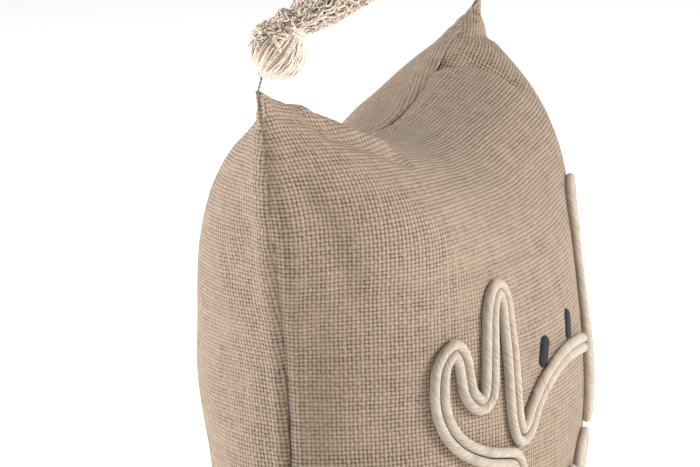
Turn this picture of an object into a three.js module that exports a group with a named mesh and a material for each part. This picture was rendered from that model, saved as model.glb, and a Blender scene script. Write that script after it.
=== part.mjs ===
// A square hessian cushion: a cover with a zipped back, an inner pad, cord appliqué and four corner tassels.
// Millimetres, +Z up. The cushion stands on its lower edge, front towards -Y.
// The origin is on the floor under the cushion, a little in front of its seam.
import * as THREE from "three";

// ---- driving dimensions ----
const PANEL = 400; // side of a cover panel before filling
const CORNER = 187; // half distance between neighbouring corners once filled
const HALF_WIDTH = 145; // half width at mid height, where the filling pulls the side seams in
const TOP_RISE = 136; // height of the middle of the top seam above the cushion's centre
const BOTTOM_DROP = 175; // the same for the bottom seam, which the weight pushes flat
const FRONT_DEPTH = 110; // bulge of the front panel
const BACK_DEPTH = 91; // bulge of the back panel
const EAR_FULLNESS = 3.6; // how much stuffing reaches the corners
const REST_HEIGHT = 158; // centre above the floor
const EAR_LIFT = 13; // how far the lower corners curl up from the floor
const SEAM_Y = 8; // the seam plane is this far behind the origin

const CLOTH = 1.6; // thickness of the lined hessian
const SEAM_GAP = 0.3; // between the front and back panels along the seam
const PAD_INSET = 8.5; // looseness of the inner pad in the cover
const CASING = 2; // thickness of the pad's casing, with the fibre that clings to it
const FILL_INSET = 15.5; // from the cover's outside to the filling
const FILL_EDGE = 0.5; // half thickness that the filling keeps at its edges
const GRID = 16; // facets across a panel

const CORD_RADIUS = 2.45;
const CORD_PITCH = 5.7; // between the two cords of a pair
const CORD_SIDES = 6;
const CORD_STANDOFF = 0.6; // between a cord and the cloth under it

const BAR = { width: 8.5, height: 17, depth: 1.8, standoff: 0.6 };

const ZIP_HEIGHT = 112; // above the floor
const ZIP_REACH = 0.62; // how far the zip runs to each side, as a share of the panel's half width
const ZIP_SLOT = 5; // half width of the opening between the two back panels
const TAPE = { inset: 4.2, width: 12, thickness: 0.6, parting: 0.8, spare: 4 };
const COIL = { radius: 1.1, pitch: 2.5, clearance: 0.3, short: 8 };
const STOP = { length: 2.4, width: 5, height: 2.4, from: 2 };
const SLIDER = { length: 11, width: 7.8, plate: 1.2, flange: 1.1, clearance: 0.35 };
const BAIL = { reach: 3.2, post: 0.8, height: 2.8, bar: 0.8, width: 2.2, gap: 0.3 };
const TAB = { length: 24, width: 6, thickness: 1.2, rod: 1.2, window: 5.4, windowWidth: 3.2 };

const THREAD = { radius: 0.8, length: 6.5, gap: 0.6 };
const HEAD = { radius: 13.5, length: 31, neck: 6 };
const BINDING = { inner: 6.4, outer: 7.7, from: 25.5, to: 30, round: 0.8 };
const SKIRT = { radius: 10.8, length: 62, gap: 1.2 };

const COLOUR = {
  hessian: 0xb89a7c, cotton: 0xe4d8c4, yarn: 0xe6d9c6, black: 0x2b2a29, calico: 0xe9e4d8,
  fibre: 0xf4f2ec, tape: 0xb49a80, coil: 0xa88e74, thread: 0x8d8880,
};
const BRASS = { color: 0xa08a5c, roughness: 0.35, metalness: 0.9 };

// ---- helpers ----
const part = new THREE.Group();

function finish(color, roughness = 0.95) {
  return new THREE.MeshStandardMaterial({ color, roughness, metalness: 0 });
}

function add(name, geometry, material, parent = part) {
  const mesh = new THREE.Mesh(geometry, material);
  mesh.name = name;
  parent.add(mesh);
  return mesh;
}

// Moves every corner of a geometry to where place(x, y, z) says.
function reshape(geometry, place) {
  const position = geometry.getAttribute("position");
  for (let i = 0; i < position.count; i += 1) {
    const moved = place(position.getX(i), position.getY(i), position.getZ(i));
    position.setXYZ(i, moved.x, moved.y, moved.z);
  }
  return geometry;
}

// ---- the filled cushion's surface ----
// u and v run from -1 to 1 across and up a panel. A section is a half ellipse, from seam to seam.
function sectionAngle(u) {
  const share = Math.abs(u);
  return (Math.PI / 2) * share * (1 - 0.127 * (1 - share * share));
}

function pull(v) {
  return (1 - v * v) / (1 + 1.5 * v * v);
}

function across(u, v, corner, middle) {
  const straight = corner * u;
  const round = middle * Math.sign(u) * Math.sin(sectionAngle(u));
  return THREE.MathUtils.lerp(straight, round, pull(v));
}

// side is -1 for the front panel and 1 for the back; inset is the depth under the cover's outside.
function surface(u, v, side, inset = 0) {
  const corner = CORNER - inset;
  const depth = (side < 0 ? FRONT_DEPTH : BACK_DEPTH) - inset;
  const middle = (v > 0 ? TOP_RISE : BOTTOM_DROP) - inset;
  const ear = 1 + EAR_FULLNESS * u * u * v * v;
  const bulge = depth * Math.cos(sectionAngle(u)) * Math.cos(sectionAngle(v)) * ear;
  const x = across(u, v, corner, HALF_WIDTH - inset);
  const lift = v < 0 ? EAR_LIFT * Math.pow(u * v, 8) : 0;
  const z = Math.max(across(v, u, corner, middle), inset - REST_HEIGHT) + lift;
  return new THREE.Vector3(x, SEAM_Y + side * (SEAM_GAP / 2 + bulge), z + REST_HEIGHT);
}

// A thickness of cloth between two depths under the surface, over the height from low(u) to high(u).
function clothShell(side, outer, thickness, rows, low = () => -1, high = () => 1) {
  const box = new THREE.BoxGeometry(2, 2, 2, GRID, rows, 1);
  return reshape(box, (x, y, z) => {
    const u = -side * x;
    const v = THREE.MathUtils.lerp(low(u), high(u), (y + 1) / 2);
    return surface(u, v, side, z > 0 ? outer : outer + thickness);
  });
}

// The v at which the panel is that high above the floor, found by halving.
function levelAt(u, height) {
  let [low, high] = [-1, 1];
  for (let i = 0; i < 30; i += 1) {
    const middle = (low + high) / 2;
    const z = across(middle, u, CORNER, middle > 0 ? TOP_RISE : BOTTOM_DROP) + REST_HEIGHT;
    if (z < height) low = middle;
    else high = middle;
  }
  return (low + high) / 2;
}

// ---- cover and pad ----
// The opening between the two back panels is as high as the zip, and closes to a sewn seam beyond its ends.
function slotHalf(u) {
  return Math.abs(u) < ZIP_REACH + 0.05 ? ZIP_SLOT : SEAM_GAP;
}

function addCover() {
  const cloth = finish(COLOUR.hessian);
  const rows = GRID / 2;
  add("cover_front", clothShell(-1, 0, CLOTH, GRID), cloth);
  add(
    "cover_back_upper",
    clothShell(1, 0, CLOTH, rows, (u) => levelAt(u, ZIP_HEIGHT + slotHalf(u))),
    cloth,
  );
  add(
    "cover_back_lower",
    clothShell(1, 0, CLOTH, rows, undefined, (u) => levelAt(u, ZIP_HEIGHT - slotHalf(u))),
    cloth,
  );
}

function addPad() {
  const calico = finish(COLOUR.calico);
  add("pad_casing_front", clothShell(-1, PAD_INSET, CASING, GRID), calico);
  add("pad_casing_back", clothShell(1, PAD_INSET, CASING, GRID), calico);
  const fill = new THREE.BoxGeometry(2, 2, 2, GRID, GRID, 1);
  // Across and up change places here, so that the filling's facets fold as the inside of the casing does.
  reshape(fill, (x, y, z) => {
    const side = z > 0 ? 1 : -1;
    const point = surface(y, x, side, FILL_INSET);
    point.y += side * FILL_EDGE;
    return point;
  });
  add("pad_fibre_fill", fill, finish(COLOUR.fibre));
}

// ---- cord appliqué on the front panel ----
// Routes are points on the flat panel, in millimetres right of and above its middle.
const BRANCH_ROUTE = [
  [-72, -100], [-72, -70], [-72, -42], [-74, -29], [-82, -22], [-94, -18], [-106, -12], [-116, -2],
  [-122, 12], [-124, 28], [-123, 40], [-117, 47], [-111, 41], [-108, 30], [-105, 19], [-98, 12.5],
  [-91, 18], [-89, 30], [-88.5, 48], [-88, 64], [-85, 74], [-79.5, 77.5], [-74, 72], [-73, 58],
  [-72, 38], [-71, 18], [-69.5, 2], [-65, -6.5], [-58, -4], [-51, 5], [-42, 13.5], [-30, 19],
  [-16, 22], [2, 21.5], [21, 19],
];
const UPRIGHT_ROUTE = [
  [27, -22], [27, -8], [29, 5], [34, 19], [44, 35], [54, 53], [63, 73], [71, 93], [80, 106], [93, 110],
  [105, 103], [112, 86], [115, 60], [115, 20], [115, -30], [113, -70], [111, -100],
];
const LOWER_ROUTE = [
  [-13, -100], [-14, -80], [-13, -62], [-8, -51], [-1, -48.5], [5, -53], [6.5, -63], [12, -70],
  [17.5, -63], [18.5, -50], [20, -41], [26, -36], [32, -41], [34, -56], [35, -78], [35, -100],
];

// The point that far right and up on the filled front panel, and the way out of the cloth there.
function onFront(right, up, height) {
  const u = right / (PANEL / 2);
  const v = up / (PANEL / 2);
  const point = surface(u, v, -1);
  const step = 0.01;
  const alongU = surface(u + step, v, -1).sub(point);
  const alongV = surface(u, v + step, -1).sub(point);
  const out = alongU.cross(alongV).normalize();
  return point.addScaledVector(out, height);
}

// One cord of a pair: the route moved sideways on the panel by shift.
function cordPath(route, shift, steps) {
  const corners = route.map(([x, y]) => new THREE.Vector3(x, y, 0));
  const flat = new THREE.CatmullRomCurve3(corners, false, "centripetal");
  const height = CORD_RADIUS + CORD_STANDOFF;
  const points = [];
  for (let i = 0; i <= steps; i += 1) {
    const at = flat.getPointAt(i / steps);
    const along = flat.getTangentAt(i / steps);
    points.push(onFront(at.x - along.y * shift, at.y + along.x * shift, height));
  }
  return new THREE.CatmullRomCurve3(points, false, "centripetal");
}

function tube(path, radius, sides, steps) {
  const ring = new THREE.Shape();
  for (let i = 0; i < sides; i += 1) {
    const angle = (2 * Math.PI * i) / sides;
    const place = [radius * Math.cos(angle), radius * Math.sin(angle)];
    if (i === 0) ring.moveTo(...place);
    else ring.lineTo(...place);
  }
  ring.closePath();
  return new THREE.ExtrudeGeometry(ring, { steps, extrudePath: path });
}

function addCordPair(name, route, steps) {
  const cotton = finish(COLOUR.cotton);
  for (const [which, side] of [["left_cord", 0.5], ["right_cord", -0.5]]) {
    const path = cordPath(route, side * CORD_PITCH, steps);
    add(`${name}_${which}`, tube(path, CORD_RADIUS, CORD_SIDES, steps), cotton);
  }
}

// ---- satin-stitched bars above the rising cord ----
const BAR_PLACES = { stitched_bar_left: [-41, 32.5], stitched_bar_right: [-4, 38.5] };
const BAR_LEAN = THREE.MathUtils.degToRad(-12);

function addBars() {
  for (const [name, [right, up]] of Object.entries(BAR_PLACES)) {
    const round = BAR.width / 2;
    const outline = new THREE.Shape();
    outline.absarc(0, BAR.height / 2 - round, round, 0, Math.PI);
    outline.absarc(0, round - BAR.height / 2, round, Math.PI, 2 * Math.PI);
    const depth = { depth: BAR.depth, bevelEnabled: false, curveSegments: 5 };
    const pad = new THREE.ExtrudeGeometry(outline, depth);
    const lower = onFront(right, up, BAR.standoff);
    const out = onFront(right, up, 1 + BAR.standoff).sub(lower);
    const bar = add(name, pad, finish(COLOUR.black, 0.6));
    const forward = new THREE.Vector3(0, 0, 1);
    bar.quaternion.setFromUnitVectors(forward, out);
    const upright = new THREE.Vector3(0, 1, 0).applyQuaternion(bar.quaternion);
    const wanted = new THREE.Vector3(0, 0, 1).projectOnPlane(out).normalize();
    const turn = Math.atan2(upright.clone().cross(wanted).dot(out), upright.dot(wanted));
    const lean = new THREE.Quaternion().setFromAxisAngle(forward, turn + BAR_LEAN);
    bar.quaternion.multiply(lean);
    bar.position.copy(lower);
  }
}

// ---- zip across the back ----
// The chain lies on a level circle through the middle and the ends of the opening.
const zipMiddle = surface(0, levelAt(0, ZIP_HEIGHT), 1, TAPE.inset);
const zipEnd = surface(ZIP_REACH, levelAt(ZIP_REACH, ZIP_HEIGHT), 1, TAPE.inset);
const zipDrop = zipMiddle.y - zipEnd.y;
const ZIP_RADIUS = (zipEnd.x * zipEnd.x + zipDrop * zipDrop) / (2 * zipDrop);
const ZIP_HALF = ZIP_RADIUS * Math.asin(zipEnd.x / ZIP_RADIUS); // half length of the chain
const ZIP_CENTRE = zipMiddle.y - ZIP_RADIUS;

// The frame of the chain at a length along it, seen from behind: x to the right, y up, z out of the cloth.
function zipFrame(along) {
  const angle = along / ZIP_RADIUS;
  const x = new THREE.Vector3(-Math.cos(angle), -Math.sin(angle), 0);
  const y = new THREE.Vector3(0, 0, 1);
  const z = new THREE.Vector3(-Math.sin(angle), Math.cos(angle), 0);
  const centre = new THREE.Vector3(0, ZIP_CENTRE, ZIP_HEIGHT);
  const origin = centre.addScaledVector(z, ZIP_RADIUS);
  return new THREE.Matrix4().makeBasis(x, y, z).setPosition(origin);
}

function alongZip(geometry) {
  return reshape(geometry, (x, y, z) => new THREE.Vector3(0, y, z).applyMatrix4(zipFrame(x)));
}

function addZipChain() {
  const rows = { upper: 1, lower: -1 };
  for (const [name, side] of Object.entries(rows)) {
    const tape = new THREE.BoxGeometry(2 * ZIP_HALF + TAPE.spare, TAPE.width, TAPE.thickness, 14, 1, 1);
    tape.translate(0, side * (TAPE.width + TAPE.parting) / 2, -TAPE.thickness / 2);
    add(`zip_tape_${name}`, alongZip(tape), finish(COLOUR.tape));
    const coil = new THREE.CylinderGeometry(COIL.radius, COIL.radius, 2 * ZIP_HALF - COIL.short, 8, 24);
    coil.rotateZ(Math.PI / 2);
    coil.translate(0, side * COIL.pitch / 2, COIL.radius + COIL.clearance);
    add(`zip_coil_${name}`, alongZip(coil), finish(COLOUR.coil, 0.6));
  }
  for (const [name, side] of Object.entries({ zip_stop_left: 1, zip_stop_right: -1 })) {
    const stop = new THREE.BoxGeometry(STOP.length, STOP.width, STOP.height);
    stop.translate(side * (ZIP_HALF - STOP.from), 0, STOP.height / 2 + COIL.clearance);
    add(name, alongZip(stop), new THREE.MeshStandardMaterial(BRASS));
  }
}

// A rectangle with one rectangular window, as an outline for an extrusion.
function frameOutline(x0, x1, halfWidth, hole) {
  const outline = new THREE.Shape();
  outline.moveTo(x0, -halfWidth).lineTo(x1, -halfWidth).lineTo(x1, halfWidth);
  outline.lineTo(x0, halfWidth).closePath();
  const window = new THREE.Path();
  window.moveTo(hole.x0, -hole.half).lineTo(hole.x0, hole.half).lineTo(hole.x1, hole.half);
  window.lineTo(hole.x1, -hole.half).closePath();
  outline.holes.push(window);
  return outline;
}

const SLIDER_AT = 10 - ZIP_HALF; // closed, with the slider a little short of the right-hand end
const PLATE_BASE = COIL.clearance + 2 * COIL.radius + SLIDER.clearance;
const ROD_HEIGHT = PLATE_BASE + SLIDER.plate + SLIDER.clearance + TAB.rod / 2;

// The body is a channel that rides over the coils, and the bail is an arch along the top of it.
function sliderOutline() {
  const half = SLIDER.width / 2;
  const inner = half - SLIDER.flange;
  const top = PLATE_BASE + SLIDER.plate;
  const outline = new THREE.Shape();
  outline.moveTo(-half, COIL.clearance).lineTo(-inner, COIL.clearance).lineTo(-inner, PLATE_BASE);
  outline.lineTo(inner, PLATE_BASE).lineTo(inner, COIL.clearance).lineTo(half, COIL.clearance);
  outline.lineTo(half, top).lineTo(-half, top).closePath();
  return outline;
}

function bailOutline() {
  const foot = PLATE_BASE + SLIDER.plate + BAIL.gap;
  const top = PLATE_BASE + SLIDER.plate + BAIL.height;
  const inner = BAIL.reach - BAIL.post;
  const outline = new THREE.Shape();
  outline.moveTo(-BAIL.reach, foot).lineTo(-BAIL.reach, top).lineTo(BAIL.reach, top).lineTo(BAIL.reach, foot);
  outline.lineTo(inner, foot).lineTo(inner, top - BAIL.bar).lineTo(-inner, top - BAIL.bar);
  outline.lineTo(-inner, foot).closePath();
  return outline;
}

function addZipSlider() {
  const metal = new THREE.MeshStandardMaterial(BRASS);
  const place = new THREE.Group();
  place.applyMatrix4(zipFrame(SLIDER_AT));
  part.add(place);
  const square = { bevelEnabled: false };
  const body = new THREE.ExtrudeGeometry(sliderOutline(), { ...square, depth: SLIDER.length });
  body.translate(0, 0, -SLIDER.length / 2).rotateX(Math.PI / 2).rotateZ(Math.PI / 2);
  add("zip_slider_body", body, metal, place);
  const bail = new THREE.ExtrudeGeometry(bailOutline(), { ...square, depth: BAIL.width });
  bail.translate(0, 0, -BAIL.width / 2).rotateX(Math.PI / 2);
  add("zip_slider_bail", bail, metal, place);
  const window = { x0: TAB.rod / 2, x1: TAB.window, half: TAB.windowWidth / 2 };
  const outline = frameOutline(-TAB.rod / 2, TAB.length, TAB.width / 2, window);
  const tab = new THREE.ExtrudeGeometry(outline, { ...square, depth: TAB.thickness });
  tab.translate(0, 0, ROD_HEIGHT - TAB.thickness / 2);
  add("zip_pull_tab", tab, metal, place);
}

// ---- corner tassels ----
// Each tassel hangs on a tie thread: thread, head and skirt are the ways that they point at rest on the
// left-hand corners. The right-hand ones mirror them.
const RAISED = { thread: [0.1, -0.27, 0.96], head: [0.2, -0.55, 0.81], skirt: [0.28, -0.78, 0.56] };
const LYING = { thread: [-0.88, -0.48, 0.1], head: [-0.88, -0.48, -0.03], skirt: [-0.88, -0.48, -0.03] };
const TASSELS = {
  top_left: { corner: [-1, 1], pose: RAISED },
  top_right: { corner: [1, 1], pose: RAISED },
  bottom_left: { corner: [-1, -1], pose: LYING },
  bottom_right: { corner: [1, -1], pose: LYING },
};

function lathe(points, sides = 12) {
  return new THREE.LatheGeometry(points.map(([r, y]) => new THREE.Vector2(r, y)), sides);
}

function pointing(direction, origin) {
  const group = new THREE.Group();
  group.quaternion.setFromUnitVectors(new THREE.Vector3(0, 1, 0), direction);
  group.position.copy(origin);
  part.add(group);
  return group;
}

function headProfile() {
  const { radius, length, neck } = HEAD;
  const bulb = [[0, 0], [4, 1], [9, 4.5], [12.6, 9], [radius, 14], [12, 19], [8.5, 23.5]];
  return [...bulb, [neck, 25.2], [neck, length], [0, length]];
}

function skirtProfile() {
  const { radius, length } = SKIRT;
  const root = [[0, 0], [4, 0.8], [7.5, 3], [9.6, 9], [radius, 24]];
  return [...root, [radius, length - 12], [9, length - 3], [0, length]];
}

function bindingProfile() {
  const { inner, outer, from, to, round } = BINDING;
  return [[inner, from], [outer, from + round], [outer, to - round], [inner, to], [inner, from]];
}

function addTassel(name, { corner, pose }) {
  const yarn = finish(COLOUR.yarn);
  const way = ([x, y, z]) => new THREE.Vector3(-corner[0] * x, y, z).normalize();
  const [threadWay, headWay, skirtWay] = [way(pose.thread), way(pose.head), way(pose.skirt)];
  const tip = surface(corner[0], corner[1], -1);
  tip.y = SEAM_Y;
  const start = tip.clone().addScaledVector(threadWay, THREAD.gap);
  const stem = new THREE.CylinderGeometry(THREAD.radius, THREAD.radius, THREAD.length, 8);
  stem.translate(0, THREAD.length / 2, 0);
  add(`tassel_${name}_tie_thread`, stem, finish(COLOUR.thread), pointing(threadWay, start));
  const knot = start.clone().addScaledVector(threadWay, THREAD.length + THREAD.gap);
  const bulb = pointing(headWay, knot);
  add(`tassel_${name}_head`, lathe(headProfile()), yarn, bulb);
  add(`tassel_${name}_neck_binding`, lathe(bindingProfile(), 10), yarn, bulb);
  const neckEnd = knot.clone().addScaledVector(headWay, HEAD.length + SKIRT.gap);
  add(`tassel_${name}_skirt`, lathe(skirtProfile(), 10), yarn, pointing(skirtWay, neckEnd));
}

// ---- assembly ----
addCover();
addPad();
addCordPair("branch", BRANCH_ROUTE, 120);
addCordPair("upright", UPRIGHT_ROUTE, 60);
addCordPair("lower_branch", LOWER_ROUTE, 50);
addBars();
addZipChain();
addZipSlider();
for (const [name, tassel] of Object.entries(TASSELS)) addTassel(name, tassel);

export default part;
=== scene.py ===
# %% [markdown]
# # A hessian cushion with cord appliqué and a tassel on each corner
# The CAD model says where every piece is and how it moves, and this lesson gives the pieces their looks:
# coarse woven cloth filled to a plump square, soft twisted cords couched on the front, satin-stitched bars,
# a zip across the back, and curly tassels. It starts by loading the CAD model as a frame, which nothing
# moves.

# %% Load the frame
import math
import random

import bmesh
import bpy
import numpy as np
from mathutils import Matrix, Vector


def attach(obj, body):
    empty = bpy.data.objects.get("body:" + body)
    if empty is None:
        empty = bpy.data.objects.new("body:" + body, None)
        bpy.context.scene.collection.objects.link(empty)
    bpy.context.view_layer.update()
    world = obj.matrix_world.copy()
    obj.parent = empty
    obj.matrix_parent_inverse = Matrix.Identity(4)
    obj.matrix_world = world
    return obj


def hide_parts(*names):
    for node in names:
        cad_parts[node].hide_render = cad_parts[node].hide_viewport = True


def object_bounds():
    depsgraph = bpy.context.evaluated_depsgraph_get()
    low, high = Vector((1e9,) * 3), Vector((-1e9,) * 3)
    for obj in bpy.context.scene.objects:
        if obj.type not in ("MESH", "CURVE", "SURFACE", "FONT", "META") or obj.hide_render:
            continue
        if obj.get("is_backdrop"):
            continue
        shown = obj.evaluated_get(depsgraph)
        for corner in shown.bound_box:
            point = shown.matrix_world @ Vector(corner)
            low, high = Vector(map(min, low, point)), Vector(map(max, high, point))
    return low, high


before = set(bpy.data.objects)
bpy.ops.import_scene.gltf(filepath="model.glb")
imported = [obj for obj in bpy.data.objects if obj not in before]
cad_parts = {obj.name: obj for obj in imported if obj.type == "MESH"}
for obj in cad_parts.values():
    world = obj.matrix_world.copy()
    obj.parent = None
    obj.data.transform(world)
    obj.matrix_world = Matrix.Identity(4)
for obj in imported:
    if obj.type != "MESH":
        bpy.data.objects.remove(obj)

CAD_BOX = [list(corner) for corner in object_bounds()]

# %% [markdown]
# ## The camera
# A long lens a good step away keeps the cushion's sides nearly parallel. It looks past the left-hand side
# seam, from a little above, so that the side and the front both show. The camera is placed first, because
# how large a thread looks decides how finely everything else is made.

# %% The camera
CENTRE = Vector((0, 0.008, 0.158))  # the middle of the filled cushion


def camera_axes(round_left, above, roll):
    """Right, up and forward of a camera that looks at the cushion from the left-hand side."""
    away = Vector((
        -math.cos(round_left) * math.cos(above),
        -math.sin(round_left) * math.cos(above),
        math.sin(above),
    ))
    right = (-away).cross(Vector((0, 0, 1))).normalized()
    up = right.cross(-away)
    return right * math.cos(roll) + up * math.sin(roll), up * math.cos(roll) - right * math.sin(roll), -away


right, up, forward = camera_axes(math.radians(18.63), math.radians(14.23), math.radians(-1.69))
eye = CENTRE - forward * 1.62
aim = CENTRE - right * 0.0224 + up * 0.0777
forward = (aim - eye).normalized()
right = (right - forward * right.dot(forward)).normalized()
camera = bpy.data.objects.new("camera", bpy.data.cameras.new("camera"))
camera.data.lens = 150.2
camera.data.clip_start = 0.05
camera.matrix_world = Matrix((right, right.cross(forward), -forward)).transposed().to_4x4()
camera.location = eye
bpy.context.scene.collection.objects.link(camera)
bpy.context.scene.camera = camera
print("eye:", [round(x, 3) for x in eye])

# %% [markdown]
# ## Soft studio light
# A woven cloth needs light that rakes across it, or its threads don't show, and something wide and soft that
# keeps the shadows open. A white floor that glows a little does the soft part. Area lights behind and in
# front of the cushion do the raking, and leave the side between them darker.

# %% Light and floor
scene = bpy.context.scene
scene.view_settings.view_transform = "Standard"
world = bpy.data.worlds.new("studio")
world.use_nodes = True
world.node_tree.nodes["Background"].inputs["Color"].default_value = (1, 1, 1, 1)
world.node_tree.nodes["Background"].inputs["Strength"].default_value = 0.12
scene.world = world


def add_light(name, place, power, width):
    """A square area light that faces the cushion."""
    light = bpy.data.lights.new(name, "AREA")
    light.energy = power
    light.size = width
    holder = bpy.data.objects.new(name, light)
    holder.location = place
    holder.rotation_euler = (CENTRE - Vector(place)).to_track_quat("-Z", "Y").to_euler()
    scene.collection.objects.link(holder)


add_light("key", (-0.38, 1.85, 0.85), 52, 0.7)
add_light("front", (0.15, -2.1, 0.95), 58, 0.8)
add_light("above", (0.2, 0.1, 2.2), 11, 1.4)

FLOOR_REACH = 30
floor_mesh = bpy.data.meshes.new("floor")
bm = bmesh.new()
bmesh.ops.create_grid(bm, x_segments=1, y_segments=1, size=FLOOR_REACH)
bm.to_mesh(floor_mesh)
bm.free()
floor = bpy.data.objects.new("floor", floor_mesh)
floor.location = (0, 0, -0.0005)
scene.collection.objects.link(floor)
floor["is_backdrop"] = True

# %% [markdown]
# ## Shader maths in plain Python
# A finish is a network of nodes, and most of them are sums. One small class wraps a node's output, so that
# a sum on it is written as Python and adds the Math nodes itself. Every other node comes from one method,
# which takes the node's type, then its settings, then the values or links of its sockets.

# %% A socket that can be used in sums, and a finish that adds nodes
class Amount:
    """One output of a finish's nodes. Sums on it add Math nodes."""

    def __init__(self, finish, socket):
        self.finish, self.socket = finish, socket

    def maths(self, operation, *values):
        return self.finish.node("Math", {"operation": operation}, dict(enumerate(values)))[0]

    def __add__(self, other): return self.maths("ADD", self, other)
    def __radd__(self, other): return self.maths("ADD", other, self)
    def __sub__(self, other): return self.maths("SUBTRACT", self, other)
    def __rsub__(self, other): return self.maths("SUBTRACT", other, self)
    def __mul__(self, other): return self.maths("MULTIPLY", self, other)
    def __rmul__(self, other): return self.maths("MULTIPLY", other, self)
    def __truediv__(self, other): return self.maths("DIVIDE", self, other)

    def floor(self): return self.maths("FLOOR", self)
    def fraction(self): return self.maths("FRACT", self)
    def cosine(self): return self.maths("COSINE", self)
    def size(self): return self.maths("ABSOLUTE", self)
    def root(self): return self.maths("SQRT", self)
    def squared(self): return self.maths("POWER", self.size(), 2.0)
    def at_least(self, other): return self.maths("MAXIMUM", self, other)
    def below(self, other): return self.maths("LESS_THAN", self, other)

    def spread(self, low, high):
        """0 at low and 1 at high, with a soft start and end."""
        settings = {"interpolation_type": "SMOOTHSTEP"}
        return self.finish.node("MapRange", settings, {"Value": self, "From Min": low, "From Max": high})[0]


class Finish:
    """A material under construction."""

    def __init__(self, name):
        self.material = bpy.data.materials.new(name)
        self.material.use_nodes = True
        self.tree = self.material.node_tree
        self.tree.nodes.clear()

    def node(self, kind, settings=None, values=None):
        """Adds a node and gives its outputs by name or number."""
        made = self.tree.nodes.new("ShaderNode" + kind)
        for name, value in (settings or {}).items():
            setattr(made, name, value)
        for key, value in (values or {}).items():
            if isinstance(value, Amount):
                self.tree.links.new(value.socket, made.inputs[key])
            else:
                made.inputs[key].default_value = value
        outputs = {o.name: Amount(self, o) for o in made.outputs}
        outputs.update({i: Amount(self, o) for i, o in enumerate(made.outputs)})
        return outputs

    def noise(self, place, scale, detail=2.0, roughness=0.5):
        """Soft random values about 0.5."""
        values = {"Vector": place, "Scale": scale, "Detail": detail, "Roughness": roughness}
        return self.node("TexNoise", {}, values)["Fac"]

    def vector(self, x, y, z=0.0):
        return self.node("CombineXYZ", {}, {"X": x, "Y": y, "Z": z})[0]

    def blend(self, share, first, second):
        """A colour between first and second."""
        values = {0: share, 6: first, 7: second}
        return self.node("Mix", {"data_type": "RGBA"}, values)[2]

    def bump(self, height, distance, strength=1.0):
        return self.node("Bump", {}, {"Height": height, "Distance": distance, "Strength": strength})[0]

    def surface(self, **inputs):
        """Ends the finish in a Principled shader with these inputs."""
        named = {k.replace("_", " ").title().replace("Ior", "IOR"): v for k, v in inputs.items()}
        shader = self.node("BsdfPrincipled", {}, named)
        self.node("OutputMaterial", {}, {"Surface": shader["BSDF"]})
        return self.material


def colour(red, green, blue):
    return (red, green, blue, 1.0)


plain = Finish("pale_floor")
floor.data.materials.append(plain.surface(
    base_color=colour(0.93, 0.93, 0.925),
    roughness=0.9,
    emission_color=colour(1, 1, 1),
    emission_strength=0.74,
))
print("floor finish made")

# %% [markdown]
# ## The hessian
# Hessian is a plain weave of single jute yarns: each yarn goes over one and under the next, and the yarns
# are thick here and thin there. The pattern reads the cloth's own flat coordinates, in metres, so it follows
# the cloth round the bulge as the real threads do. Where two thin yarns meet, a pinhole is left, and its
# dark is painted shade; the low places of the weave are painted darker as shade too.

# %% The hessian's finish
YARN_PITCH = 0.0022
YARN_ROUND, YARN_LIFT = 0.7, 0.75  # how round a yarn is, and how far it climbs over another
HESSIAN_DARK = (0.110, 0.075, 0.049)
HESSIAN_LIGHT = (0.418, 0.314, 0.228)
HESSIAN_PATCH = (0.33, 0.235, 0.17)
# the nearly black colour below is painted shade for the weave's pinholes
HESSIAN_HOLE_SHADE = (0.030, 0.019, 0.012)


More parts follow.
